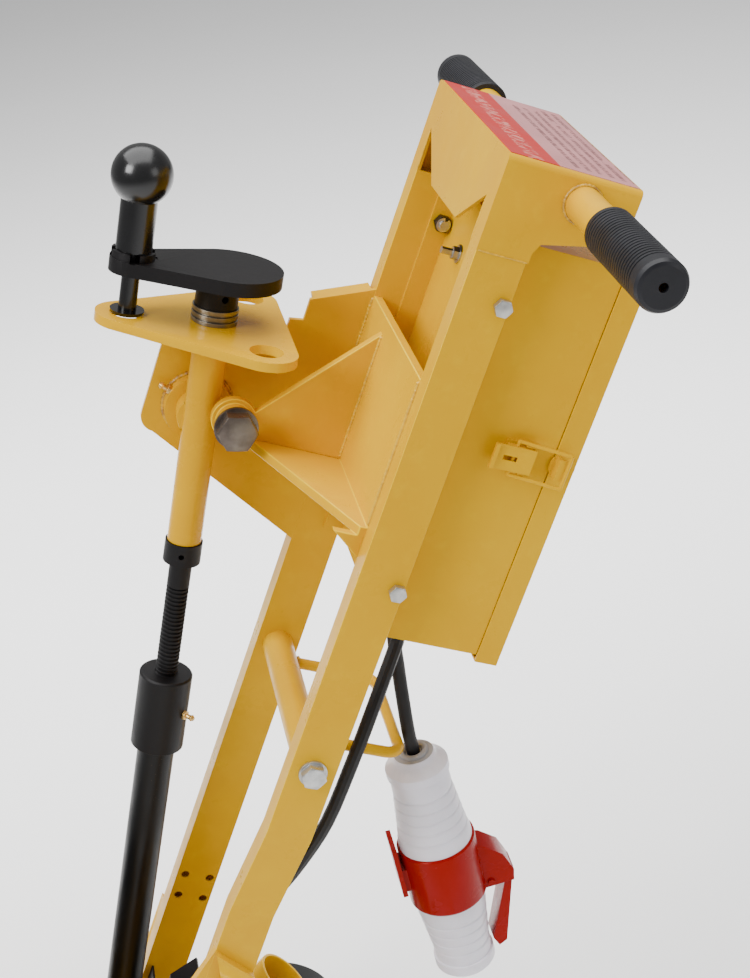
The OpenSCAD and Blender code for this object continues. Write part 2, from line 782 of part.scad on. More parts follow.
module deck() {
  slot_x = -130;
  inner = half_deck - plate_t;
  color(yellow) difference() {
    union() {
      box_at([deck_front, -inner, deck_top - plate_t], [deck_rear, inner, deck_top]);
      box_at([deck_front, -inner, 60], [deck_front + plate_t, inner, deck_top - plate_t + e]);
      box_at([deck_rear - plate_t, -inner, 40], [deck_rear, inner, deck_top - plate_t + e]);
    }
    box_at([slot_x, jack_y - 26, 100], [deck_rear + 1, jack_y + 26, deck_top + 1]);
    translate(pipe_start) along_pipe() translate([0, 0, -90]) cylinder(h = 160, d = pipe_d - 2 * pipe_wall);
  }
}

module along_pipe() {
  d = pipe_end - pipe_start;
  rotate([0, atan2(d[0], d[2]), 0]) children();
}

module side_plate(y) {
  color(yellow) difference() {
    slab_y(y, plate_t) {
      polygon([[deck_front, 34], [deck_front, deck_top], [deck_rear, deck_top], [-48, 206], [2, 206], [2, 156],
        [-60, 60], [-110, 24], [skid_front + 14, 24]]);
    }
    translate([drum_x, 0, drum_z]) rod_y(y - 1, plate_t + 2, 62);
    translate([swing_x, 0, swing_z]) rod_y(y - 1, plate_t + 2, 24 + run_fit);
  }
}

module skids() {
  color("dimgray") for (y = [-half_deck, half_deck - plate_t])
    slab_y(y, plate_t) polygon([[skid_front, 60], [skid_front, 20], [skid_front + 20, 0], [skid_front + 90, 0],
      [skid_front + 104, 12], [skid_front + 104, 24], [skid_front + 14, 24], [deck_front, 34], [deck_front, 60]]);
}

module linkage_cover() {
  color("dimgray") on_handle() {
    difference() {
      slab_y(-5, 33) polygon([[6, -872], [25, -848], [27, -850], [27, -910], [6, -938]]);
      slab_y(-3, 29) polygon([[8, -874], [30, -846], [30, -940], [8, -940]]);
    }
    box_at([6, 26, -938], [8, half_w - leg_w, -918]);
  }
}

module dust_pipe() {
  d = pipe_end - pipe_start;
  l = norm(d);
  color(yellow) difference() {
    translate(pipe_start) along_pipe() difference() {
      translate([0, 0, -50]) cylinder(h = l + 50, d = pipe_d);
      translate([0, 0, -51]) cylinder(h = l + 60, d = pipe_d - 2 * pipe_wall);
    }
    box_at([-400, -100, 0], [100, 100, deck_top]);
  }
}

module motor() {
  color("gray") {
    for (s = [-1, 1]) box_at([motor_x - 80, s * 70 - 15, deck_top], [motor_x + 80, s * 70 + 15, deck_top + 14]);
    translate([motor_x, 0, motor_z]) {
      rod_y(-motor_l / 2, motor_l, motor_d - 24);
      ring_y(-motor_l / 2, 14, motor_d, motor_d - 26);
      ring_y(motor_l / 2 - 14, 14, motor_d, motor_d - 26);
      for (a = [7.5:15:352.5]) rotate([0, a, 0])
        box_at([motor_d / 2 - 16, 12 - motor_l / 2, -1.5], [motor_d / 2 - 2, motor_l / 2 - 12, 1.5]);
      difference() {
        rod_y(motor_l / 2, 50, motor_d - 6);
        rod_y(motor_l / 2 - e, 48, motor_d - 12);
        for (r = [22, 42, 62]) for (a = [0:30:330]) rotate([0, a, 0]) translate([r, 0, 0]) rod_y(motor_l / 2, 60, 8);
      }
    }
    for (s = [-1, 1]) box_at([motor_x - 60, s * 70 - 8, deck_top + 14 - e], [motor_x + 60, s * 70 + 8, motor_z - 50]);
    box_at([motor_x - 50, -60, motor_z + motor_d / 2 - 20], [motor_x + 50, 50, motor_z + motor_d / 2 + 34]);
    // the cable's gland on the terminal box
    end = to_floor(motor_route[len(motor_route) - 1]);
    translate([motor_x + 49, end[1], end[2]]) rotate([0, 90, 0]) difference() {
      cylinder(h = end[0] + 6 - motor_x - 49, d = 22);
      translate([0, 0, 1]) cylinder(h = 40, d = cable_d + 1);
    }
  }
}

module pulley(r, y) {
  rotate([-90, 0, 0]) translate([0, 0, y]) rotate_extrude()
    polygon([[8, 0], [r, 0], [r, 3], [r - 9, 8], [r - 9, belt_w - 4], [r, belt_w + 1], [r, belt_w + 4], [8, belt_w + 4]]);
}

module motor_pulley() {
  color("silver") translate([motor_x, 0, motor_z]) {
    pulley(motor_pulley_r, belt_y - belt_w - 4);
    rod_y(belt_y - belt_w - 8, -motor_l / 2 + 2 - belt_y + belt_w + 6, 28);
  }
}

module drum() {
  color("gray") translate([drum_x, 0, drum_z]) {
    difference() {
      union() {
        for (y = [-drum_l / 2, -6, drum_l / 2 - 12]) rod_y(y, 12, 2 * cutter_shaft_r + 24);
        rod_y(-drum_l / 2, drum_l, 44);
      }
      for (a = [0:60:300]) rotate([0, a, 0]) translate([cutter_shaft_r, 0, 0])
        rod_y(-drum_l, 2 * drum_l, 12 + run_fit);
    }
    rod_y(belt_y - belt_w - 8, half_deck + 14 + belt_w + 8 - belt_y, 30);
    pulley(drum_pulley_r, belt_y - belt_w - 4);
  }
}

module drum_cutters() {
  step = (drum_l / 2 - 26) / 6;
  color("dimgray") translate([drum_x, 0, drum_z]) for (a = [0:60:300]) rotate([0, a, 0])
    translate([cutter_shaft_r, 0, 0]) {
      rod_y(-drum_l / 2 + 2, drum_l - 4, 12);
      for (side = [-1, 1]) for (i = [0:5]) rod_y(side * (14 + i * step) - (side < 0 ? 8 : 0), 8, cutter_d);
    }
}

// Flanged bearings on the outer faces of the side plates
module drum_bearings() {
  color("gray") translate([drum_x, 0, drum_z]) for (side = [-1, 1]) {
    ring_y(side < 0 ? -half_deck - 9 : half_deck, 9, 92, 30 + run_fit);
    ring_y(side < 0 ? -half_deck : half_deck - 14, 14, 60, 30 + run_fit);
    for (a = [45:90:315]) rotate([0, a, 0]) translate([38, side * (half_deck + 9), 0])
      rotate([side * -90, 0, 0]) hex_head(13, 5);
  }
}

module belt() {
  dx = drum_x - motor_x;
  dz = drum_z - motor_z;
  d = norm([dx, dz]);
  color("black") translate([motor_x, 0, motor_z]) rotate([0, atan2(-dz, dx), 0]) difference() {
    slab_y(belt_y - 15, 8) belt_outline(motor_pulley_r + 2, drum_pulley_r + 2, d);
    slab_y(belt_y - 16, 10) belt_outline(motor_pulley_r - 6, drum_pulley_r - 6, d);
  }
}

module belt_guard() {
  dx = drum_x - motor_x;
  dz = drum_z - motor_z;
  d = norm([dx, dz]);
  t = 2;
  outer_y = belt_y - belt_w - 16;
  depth = -half_deck - outer_y;
  color(yellow) translate([motor_x, 0, motor_z]) rotate([0, atan2(-dz, dx), 0]) difference() {
    slab_y(outer_y, depth) belt_outline(motor_pulley_r + 16, drum_pulley_r + 16, d);
    slab_y(outer_y + t, depth) belt_outline(motor_pulley_r + 14, drum_pulley_r + 14, d);
  }
}

// Lever, pivot tube and the arms that carry the axle
module swing_arm() {
  fork = to_floor([trunnion_x - fork_z * sin(jack_lean), jack_y, fork_z * cos(jack_lean) - trunnion_s]);
  to_fork = [fork[0] - swing_x, fork[2] - swing_z];
  lever_l = norm(to_fork);
  to_axle = [axle_x - swing_x, axle_z - swing_z];
  arm_l = norm(to_axle);
  lever_a = atan2(to_fork[1], to_fork[0]);
  axle_a = atan2(to_axle[1], to_axle[0]);
  inner = half_deck - plate_t - 0.5;
  slack = 1.3;
  color("dimgray") translate([swing_x, 0, swing_z]) {
    difference() {
      union() {
        rod_y(-inner, 2 * inner, swing_tube_d);
        rod_y(-half_deck - 6, 2 * half_deck + 12, 24);
        slab_y(jack_y - 7, 14) rotate(lever_a) link_outline(24, 15, lever_l);
        for (y = [-118, 106]) slab_y(y, 12) rotate(axle_a) link_outline(19, 18, arm_l);
      }
      slab_y(jack_y - 8, 16) rotate(lever_a) translate([lever_l - slack, 0]) link_outline(fork_pin_d / 2 + 0.2, fork_pin_d / 2 + 0.199, slack + 0.3);
    }
    translate([to_axle[0], 0, to_axle[1]]) rod_y(-wheel_y - wheel_w - 6, 2 * (wheel_y + wheel_w + 6), axle_d);
  }
}

function wheel_start(side) = side < 0 ? -wheel_y - wheel_w : wheel_y;

module wheel(side) {
  y0 = wheel_start(side);
  color("gray") translate([axle_x, 0, axle_z]) {
    ring_y(y0 + 1, wheel_w - 2, 36, axle_d + run_fit);
    difference() {
      ring_y(y0 + 12, wheel_w - 24, wheel_d - 44, 36 - e);
      for (a = [30:60:330]) rotate([0, a, 0]) translate([wheel_d / 2 - 39, 0, 0]) rod_y(y0, wheel_w, 16);
    }
    ring_y(y0 + 4, wheel_w - 8, wheel_d - 44, wheel_d - 52);
  }
}

module tyre(side) {
  color("black") translate([axle_x, 0, axle_z]) rotate([-90, 0, 0]) translate([0, 0, wheel_start(side)])
    rotate_extrude() polygon([[wheel_d / 2 - 22, 3], [wheel_d / 2 - 4, 0], [wheel_d / 2, 4],
      [wheel_d / 2, wheel_w - 4], [wheel_d / 2 - 4, wheel_w], [wheel_d / 2 - 22, wheel_w - 3]]);
}

// ---- cables ----

// Smooth curve through the points p, four steps to a span
function spline(p) = [for (i = [0:len(p) - 2], t = [0:0.25:0.75])
  let (a = p[max(i - 1, 0)], b = p[i], c = p[i + 1], d = p[min(i + 2, len(p) - 1)])
    0.5 * (2 * b + t * (c - a) + t * t * (2 * a - 5 * b + 4 * c - d) + t * t * t * (3 * b - a - 3 * c + d))];
function unit(v) = v / norm(v);

module cable(route, d) {
  sides = 10;
  c = concat(spline(route), [route[len(route) - 1]]);
  n = len(c);
  points = [for (i = [0:n - 1])
    let (w = unit(c[min(i + 1, n - 1)] - c[max(i - 1, 0)]), u = unit(cross(w, [1, 0.01, 0])), v = cross(w, u))
      for (k = [0:sides - 1]) c[i] + d / 2 * (cos(360 * k / sides) * u + sin(360 * k / sides) * v)];
  walls = [for (i = [0:n - 2], k = [0:sides - 1])
    [i * sides + k, (i + 1) * sides + k, (i + 1) * sides + (k + 1) % sides, i * sides + (k + 1) % sides]];
  polyhedron(points, concat([[for (k = [0:sides - 1]) k]], walls,
    [[for (k = [sides - 1:-1:0]) (n - 1) * sides + k]]));
}

module motor_cable() {
  color("black") on_handle() cable(motor_route, cable_d);
}

module pigtail() {
  color("black") on_handle() cable(pigtail_route, cable_d);
}

module on_plug() {
  translate(to_floor(pigtail_route[len(pigtail_route) - 1])) rotate([0, -plug_lean, 0]) children();
}

// Turned shape from pairs of depth below the cable's end and radius
module turned(profile) {
  last = profile[len(profile) - 1];
  on_plug() rotate_extrude()
    polygon(concat([[0, -profile[0][0]]], [for (p = profile) [p[1], -p[0]]], [[0, -last[0]]]));
}

module plug_body() {
  rings = [for (i = [0:4], k = [0:3]) [37 + 11 * i + [0, 1, 2.2, 3.2][k], 27 + i * 1.25 - (k % 3 == 0 ? 0 : 0.9)]];
  color("white") turned(concat([[0, 18], [5, 20], [12, 28.5], [20, 28.5], [20, 26.5]], rings,
    [[90, 33.5], [97, 34]]));
}

module plug_ring() {
  color("red") {
    turned([[97, 35], [98, 36], [159, 36], [161, 34.5]]);
    on_plug() {
      // cover flap standing up along the near edge of the ring
      translate([-42, -17, -140]) cube([4.5, 34, 52]);
      translate([-38, -14, -137]) cube([6, 28, 24]);
      // hinge bracket and locking lever on the other side
      slab_y(-13, 26) polygon([[30, -111], [40, -114], [55, -128], [62, -148], [60, -160], [30, -160]]);
      slab_y(-11, 22) polygon([[62, -146], [52, -158], [29, -222], [33, -232], [41, -228]]);
    }
    on_plug() translate([39, 0, -155]) rod_y(-15, 30, 7);
  }
}

module plug_connector() {
  rings = [for (i = [0:3], k = [0:3]) [180 + 12 * i + [0, 1, 2.2, 3.2][k], 31 - i * 1.3 - (k % 3 == 0 ? 0 : 0.9)]];
  color("white") turned(concat([[161, 33], [175, 32]], rings,
    [[231, 26.5], [231, 28.5], [plug_l - 4, 28.5], [plug_l, 25]]));
}

leg_near();
leg_far();
head_cap();
head_panel();
handlebar();
grip(-1);  // grip_near
grip(1);  // grip_far
box_channel();
box_body();
box_gear();
lid_hinge_pin();
latch_base();
handle_bolts();
cross_tube();
cable_hook();
bracket_far_plate();
bracket_web();
bracket_gusset();
trunnion_boss();
steady_bolt();
glands();
lugs();
deck();
side_plate(-half_deck);  // side_plate_near
side_plate(half_deck - plate_t);  // side_plate_far
skids();
linkage_cover();
dust_pipe();
drum_bearings();
motor();
belt();
belt_guard();
motor_cable();
box_lid();
lid_keeper();
start_button();
stop_button();
latch_lever();
latch_bail();
jack_tube();
index_plate();
jack_collar();
crank();
thrust_bearing();
jack_screw();
plunger();
jack_nut();
lower_tube();
swing_arm();
wheel(-1);  // wheel_near
wheel(1);  // wheel_far
tyre(-1);  // tyre_near
tyre(1);  // tyre_far
drum();
drum_cutters();
motor_pulley();
pigtail();
plug_body();
plug_ring();
plug_connector();
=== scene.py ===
import bpy, bmesh, json, math, random
from mathutils import Vector, Matrix


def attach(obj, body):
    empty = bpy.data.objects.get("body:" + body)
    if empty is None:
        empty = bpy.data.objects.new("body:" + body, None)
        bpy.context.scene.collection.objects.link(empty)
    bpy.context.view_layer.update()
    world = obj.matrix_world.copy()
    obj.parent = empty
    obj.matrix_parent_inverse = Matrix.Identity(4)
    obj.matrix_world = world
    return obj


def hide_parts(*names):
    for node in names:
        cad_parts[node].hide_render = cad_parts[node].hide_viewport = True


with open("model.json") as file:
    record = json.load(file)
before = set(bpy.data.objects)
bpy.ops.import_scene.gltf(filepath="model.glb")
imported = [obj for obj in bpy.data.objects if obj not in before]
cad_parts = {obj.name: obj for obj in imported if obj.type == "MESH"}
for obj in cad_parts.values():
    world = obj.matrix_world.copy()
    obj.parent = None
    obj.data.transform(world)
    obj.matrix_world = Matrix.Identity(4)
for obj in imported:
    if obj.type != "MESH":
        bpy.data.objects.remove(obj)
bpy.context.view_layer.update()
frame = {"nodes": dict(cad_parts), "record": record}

NODES = frame["nodes"]
BODY = {n: b for b, ns in frame["record"]["behaviour"]["bodies"].items() for n in ns}
MM = 0.001

# ---- frames: the handle leans back, and the jack column leans less ----
LEAN = math.radians(27)
JACK_LEAN = math.radians(18)
HEAD = Vector((0.374, 0.0, 1.090))
HX = Vector((math.cos(LEAN), 0, -math.sin(LEAN)))
HZ = Vector((math.sin(LEAN), 0, math.cos(LEAN)))
JACK = Vector((0.122239, 0.065, 0.858012))
JX = Vector((math.cos(JACK_LEAN), 0, -math.sin(JACK_LEAN)))
JZ = Vector((math.sin(JACK_LEAN), 0, math.cos(JACK_LEAN)))
# mm in the handle frame: half the head's width, the legs' inner faces, the trunnion, the handle bolts
HALF_HEAD = 115
LEG_INNER = 95
TRUNNION_X, TRUNNION_S = -119, 321
BOLT_X, BOLT_S = 34.5, (111, 358)


def hp(x, y, z):
    """A point of the handle frame, in mm: rear of the legs' front, across, up from the head's top."""
    return HEAD + HX * (x * MM) + HZ * (z * MM) + Vector((0, y * MM, 0))


def jp(x, y, z):
    """A point of the jack frame, in mm, with z up the column from the trunnion."""
    return JACK + JX * (x * MM) + JZ * (z * MM) + Vector((0, y * MM, 0))


def to_handle(p):
    """A point in metres, as mm in the handle frame."""
    d = Vector(p) - HEAD
    return Vector((d.dot(HX), d.y, d.dot(HZ))) / MM


# ---- camera at the photograph's angle: where it stands, and its own axes ----
cam_data = bpy.data.cameras.new("camera")
cam = bpy.data.objects.new("camera", cam_data)
bpy.context.scene.collection.objects.link(cam)
right = Vector((0.97183, -0.18585, -0.14494))
up = Vector((0.21336, 0.43255, 0.87600))
back = Vector((-0.10011, -0.88225, 0.46002))
turn = Matrix((right, up, back)).transposed()
cam.matrix_world = Matrix.Translation((0.09760, -1.35535, 1.49629)) @ turn.to_4x4()
cam_data.sensor_fit = "AUTO"
cam_data.sensor_width = 36
cam_data.lens = 67.40
cam_data.clip_start = 0.05
cam_data.clip_end = 50
bpy.context.scene.camera = cam


# ---- node helpers ----
class Tree:
    """A node material with one shader, and short ways to add nodes in front of it."""

    def __init__(self, name):
        self.mat = bpy.data.materials.new(name)
        self.mat.use_nodes = True
        self.t = self.mat.node_tree
        self.t.nodes.clear()
        self.out = self.t.nodes.new("ShaderNodeOutputMaterial")
        self.s = self.t.nodes.new("ShaderNodeBsdfPrincipled")
        self.t.links.new(self.s.outputs[0], self.out.inputs[0])
        self.co = self.t.nodes.new("ShaderNodeTexCoord").outputs["Object"]

    def new(self, kind, **values):
        n = self.t.nodes.new(kind)
        for k, v in values.items():
            setattr(n, k, v)
        return n

    def link(self, a, b):
        self.t.links.new(a, b)

    def mapped(self, rotate=(0, 0, 0), scale=(1, 1, 1), move=(0, 0, 0), source=None):
        m = self.new("ShaderNodeMapping")
        m.inputs["Rotation"].default_value = rotate
        m.inputs["Scale"].default_value = scale
        m.inputs["Location"].default_value = move
        self.link(source or self.co, m.inputs["Vector"])
        return m.outputs[0]

    def noise(self, scale, detail=3.0, rough=0.5, source=None):
        n = self.new("ShaderNodeTexNoise")
        n.inputs["Scale"].default_value = scale
        n.inputs["Detail"].default_value = detail
        n.inputs["Roughness"].default_value = rough
        self.link(source or self.co, n.inputs["Vector"])
        return n.outputs["Fac"]

    def spots(self, scale, size):
        v = self.new("ShaderNodeTexVoronoi")
        v.inputs["Scale"].default_value = scale
        self.link(self.co, v.inputs["Vector"])
        return self.ramp(v.outputs["Distance"], size, size * 0.6, 0, 1)

    def ramp(self, fac, a, b, lo=0.0, hi=1.0):
        m = self.new("ShaderNodeMapRange")
        m.inputs["From Min"].default_value = a
        m.inputs["From Max"].default_value = b
        m.inputs["To Min"].default_value = lo
        m.inputs["To Max"].default_value = hi
        self.link(fac, m.inputs["Value"])
        return m.outputs[0]

    def maths(self, op, a, b=None):
        m = self.new("ShaderNodeMath", operation=op)
        for i, v in enumerate((a, b)):
            if v is None:
                continue
            if isinstance(v, (int, float)):
                m.inputs[i].default_value = v
            else:
                self.link(v, m.inputs[i])
        return m.outputs[0]

    def mix(self, fac, a, b):
        m = self.new("ShaderNodeMix", data_type="RGBA")
        if isinstance(fac, (int, float)):
            m.inputs["Factor"].default_value = fac
        else:
            self.link(fac, m.inputs["Factor"])
        for i, v in ((6, a), (7, b)):
            if isinstance(v, tuple):
                m.inputs[i].default_value = (*v, 1)
            else:
                self.link(v, m.inputs[i])
        return m.outputs[2]

    def bump(self, height, strength, distance=0.0005, normal=None):
        b = self.new("ShaderNodeBump")
        b.inputs["Strength"].default_value = strength
        b.inputs["Distance"].default_value = distance
        self.link(height, b.inputs["Height"])
        if normal is not None:
            self.link(normal, b.inputs["Normal"])
        return b.outputs[0]

    def set(self, **values):
        """Sets the shader's sockets, named with _ for a space, and gives the material."""
        for k, v in values.items():
            socket = self.s.inputs[k.replace("_", " ")]
            if isinstance(v, bpy.types.NodeSocket):
                self.link(v, socket)
            elif isinstance(v, tuple) and len(v) == 3 and socket.type == "RGBA":
                socket.default_value = (*v, 1)
            else:
                socket.default_value = v
        return self.mat


YELLOW = (0.74, 0.425, 0.0)
YELLOW_DEEP = (0.67, 0.345, 0.0)
YELLOW_PALE = (0.80, 0.52, 0.0)


def paint(name, rough=0.30, coat=0.03, grime=0.5):
    """Yellow gloss paint with an orange peel, faint streaks down the handle and specks of dirt."""
    t = Tree(name)
    broad = t.noise(5.5, 4, 0.55)
    fine = t.noise(60, 4, 0.6)
    colour = t.mix(t.ramp(broad, 0.35, 0.70), YELLOW_DEEP, YELLOW)
    colour = t.mix(t.ramp(fine, 0.55, 0.85, 0, 0.35), colour, YELLOW_PALE)
    streaks = t.noise(9, 6, 0.7, t.mapped((0, -LEAN, 0), (6, 1, 0.8)))
    colour = t.mix(t.ramp(streaks, 0.60, 0.78, 0, 0.22 * grime), colour, (0.42, 0.24, 0.02))
    specks = t.maths("MULTIPLY", t.spots(210, 0.09), t.ramp(t.noise(16, 2), 0.52, 0.66))
    colour = t.mix(t.maths("MULTIPLY", specks, 0.55 * grime), colour, (0.16, 0.09, 0.03))
    peel = t.noise(420, 2, 0.5)
    waves = t.noise(34, 2, 0.4)
    normal = t.bump(waves, 0.10, 0.0012, t.bump(peel, 0.16, 0.00025))
    rough_map = t.ramp(t.noise(21, 5, 0.65), 0.3, 0.75, rough - 0.07, rough + 0.13)
    return t.set(Base_Color=colour, Roughness=rough_map, Normal=normal, Coat_Weight=coat,
                 Coat_Roughness=0.12, Specular_IOR_Level=0.30, Specular_Tint=(1.0, 0.72, 0.10))


def edge_highlight_paint(name):
    """Paint on a rounded edge: a lighter yellow as a painted highlight, darker where it is thin and worn."""
    t = Tree(name)
    wear = t.ramp(t.noise(95, 5, 0.7), 0.60, 0.72)
    # lighter yellows than the paint: a painted highlight along the edges
    colour = t.mix(t.noise(30, 3), (0.80, 0.49, 0.0), (0.88, 0.59, 0.0))
    colour = t.mix(t.maths("MULTIPLY", wear, 0.6), colour, (0.33, 0.22, 0.09))
    return t.set(Base_Color=colour, Roughness=t.ramp(wear, 0, 1, 0.28, 0.5),
                 Normal=t.bump(t.noise(300, 2), 0.15, 0.0003), Coat_Weight=0.08, Coat_Roughness=0.15,
                 Specular_Tint=(1.0, 0.75, 0.2))


def weld_paint(name, rusty):
    """Painted weld bead. Rust shows in the gaps of a rusty one."""
    t = Tree(name)
    n = t.noise(190, 5, 0.7)
    rust = t.mix(t.noise(420, 3), (0.13, 0.045, 0.012), (0.34, 0.15, 0.03))
    colour = t.mix(t.ramp(n, 0.46 - 0.12 * rusty, 0.60, 0, 0.25 + 0.6 * rusty), YELLOW, rust)
    return t.set(Base_Color=colour, Roughness=t.ramp(n, 0.4, 0.7, 0.35, 0.62),
                 Normal=t.bump(n, 0.5, 0.0006), Coat_Weight=0.15)


def black_paint(name, base=(0.0024, 0.0019, 0.0022), rough=0.46, worn=0.5):
    """Black paint with fine dust and scuffs."""
    t = Tree(name)
    broad = t.noise(12, 5, 0.6)
    colour = t.mix(t.ramp(broad, 0.35, 0.7), base, tuple(v * 1.9 for v in base))
    dust = t.maths("MULTIPLY", t.spots(260, 0.12), t.ramp(t.noise(30, 2), 0.45, 0.65))
    colour = t.mix(t.maths("MULTIPLY", dust, 0.5 * worn), colour, (0.10, 0.07, 0.05))
    scuff = t.ramp(t.noise(26, 7, 0.8, t.mapped(scale=(1, 1, 5))), 0.64, 0.74, 0, 0.45 * worn)
    colour = t.mix(scuff, colour, (0.035, 0.028, 0.024))
    grain = t.noise(620, 3, 0.6)
    return t.set(Base_Color=colour, Roughness=t.ramp(broad, 0.3, 0.75, rough - 0.08, rough + 0.16),
                 Normal=t.bump(grain, 0.28, 0.0003, t.bump(t.noise(70, 3), 0.12, 0.0008)),
                 Specular_IOR_Level=0.26)


def zinc(name, tint=(0.60, 0.60, 0.585), dull=0.0):
    t = Tree(name)
    n = t.noise(90, 4, 0.6)
    colour = t.mix(t.ramp(n, 0.35, 0.7), tint, tuple(v * 0.62 for v in tint))
    colour = t.mix(t.ramp(t.noise(18, 4), 0.5, 0.8, 0, 0.4), colour, (0.46, 0.42, 0.30))
    return t.set(Base_Color=colour, Metallic=0.9 - dull, Roughness=t.ramp(n, 0.3, 0.75, 0.24, 0.46),
                 Normal=t.bump(t.noise(520, 3), 0.25, 0.0002))


def brass(name):
    t = Tree(name)
    n = t.noise(130, 4)
    return t.set(Base_Color=t.mix(n, (0.62, 0.38, 0.10), (0.80, 0.56, 0.22)), Metallic=0.95,
                 Roughness=t.ramp(n, 0.3, 0.7, 0.22, 0.42), Normal=t.bump(t.noise(700, 2), 0.15, 0.0002))


def rubber(name, base, rough, grain=540):
    t = Tree(name)
    broad = t.noise(24, 4, 0.6)
    colour = t.mix(t.ramp(broad, 0.35, 0.72), base, tuple(v * 1.8 for v in base))
    colour = t.mix(t.ramp(t.noise(130, 5, 0.7), 0.58, 0.78, 0, 0.30), colour, (0.045, 0.043, 0.042))
    return t.set(Base_Color=colour, Roughness=t.ramp(broad, 0.3, 0.7, rough - 0.08, rough + 0.12),
                 Normal=t.bump(t.noise(grain, 3), 0.22, 0.0003), Specular_IOR_Level=0.36)


def plastic(name, base, rough=0.34, coat=0.1, dirt=0.25, sub=0.0, dirty=(0.35, 0.32, 0.30),
            shine=0.5, tint=(1, 1, 1)):
    t = Tree(name)
    broad = t.noise(14, 4, 0.55)
    colour = t.mix(t.ramp(broad, 0.35, 0.7), base, tuple(min(1, v * 0.86) for v in base))
    colour = t.mix(t.ramp(t.noise(75, 6, 0.72), 0.60, 0.80, 0, dirt), colour, dirty)
    return t.set(Base_Color=colour, Roughness=t.ramp(t.noise(50, 3), 0.3, 0.7, rough - 0.05, rough + 0.09),
                 Normal=t.bump(t.noise(480, 2), 0.10, 0.0003), Coat_Weight=coat, Coat_Roughness=0.2,
                 Specular_IOR_Level=shine, Specular_Tint=tint, Subsurface_Weight=sub, Subsurface_Scale=0.004)


def cast_grey(name, base=(0.115, 0.135, 0.15)):
    t = Tree(name)
    broad = t.noise(16, 5, 0.6)
    colour = t.mix(t.ramp(broad, 0.35, 0.7), base, tuple(v * 1.35 for v in base))
    colour = t.mix(t.ramp(t.noise(60, 6, 0.75), 0.62, 0.80, 0, 0.4), colour, (0.30, 0.28, 0.25))
    return t.set(Base_Color=colour, Roughness=t.ramp(broad, 0.3, 0.7, 0.40, 0.58),
                 Normal=t.bump(t.noise(260, 4, 0.65), 0.5, 0.0006), Coat_Weight=0.08)


def panel_print(name):
    """Printed panel: a red band along the front, pale pink behind, and rows that look like small print."""
    t = Tree(name)
    at = t.mapped((0, LEAN, 0), source=t.mapped(move=(-HEAD.x, -HEAD.y, -HEAD.z)))
    parts = t.new("ShaderNodeSeparateXYZ")
    t.link(at, parts.inputs[0])
    rear, across = parts.outputs["X"], parts.outputs["Y"]
    band = t.maths("LESS_THAN", rear, 0.0245)
    rows = t.maths("GREATER_THAN", t.maths("SINE", t.maths("MULTIPLY", rear, 2 * math.pi / 0.0056)), 0.1)
    scale = t.mapped(scale=(240, 420, 1), source=at)
    words = t.maths("GREATER_THAN", t.noise(1.0, 2, 0.6, scale), 0.46)
    blocks = t.maths("GREATER_THAN", t.noise(1.0, 1, 0.5, t.mapped(scale=(30, 13, 1), source=at)), 0.40)
    inside = t.maths("MULTIPLY", t.maths("GREATER_THAN", rear, 0.031), t.maths("LESS_THAN", rear, 0.099))
    inside = t.maths("MULTIPLY", inside, t.maths("LESS_THAN", t.maths("ABSOLUTE", across), 0.098))
    ink = t.maths("MULTIPLY", t.maths("MULTIPLY", rows, words), t.maths("MULTIPLY", blocks, inside))
    pale = t.mix(t.noise(20, 4), (0.52, 0.20, 0.20), (0.60, 0.28, 0.28))
    colour = t.mix(t.maths("MULTIPLY", ink, 0.75), pale, (0.13, 0.03, 0.03))
    strip = t.maths("LESS_THAN", t.maths("ABSOLUTE", t.maths("SUBTRACT", rear, 0.0135)), 0.0040)
    marks = t.noise(1.0, 2, 0.6, t.mapped(scale=(170, 230, 1), source=at))
    headline = t.maths("MULTIPLY", t.maths("GREATER_THAN", marks, 0.52), strip)
    red = t.mix(t.maths("MULTIPLY", headline, 0.55), (0.52, 0.012, 0.008), (0.75, 0.35, 0.28))
    colour = t.mix(band, colour, red)
    return t.set(Base_Color=colour, Roughness=t.ramp(t.noise(40, 4), 0.3, 0.7, 0.26, 0.42),
                 Normal=t.bump(t.noise(300, 2), 0.08, 0.0002), Coat_Weight=0.06, Coat_Roughness=0.2,
                 Specular_IOR_Level=0.35)


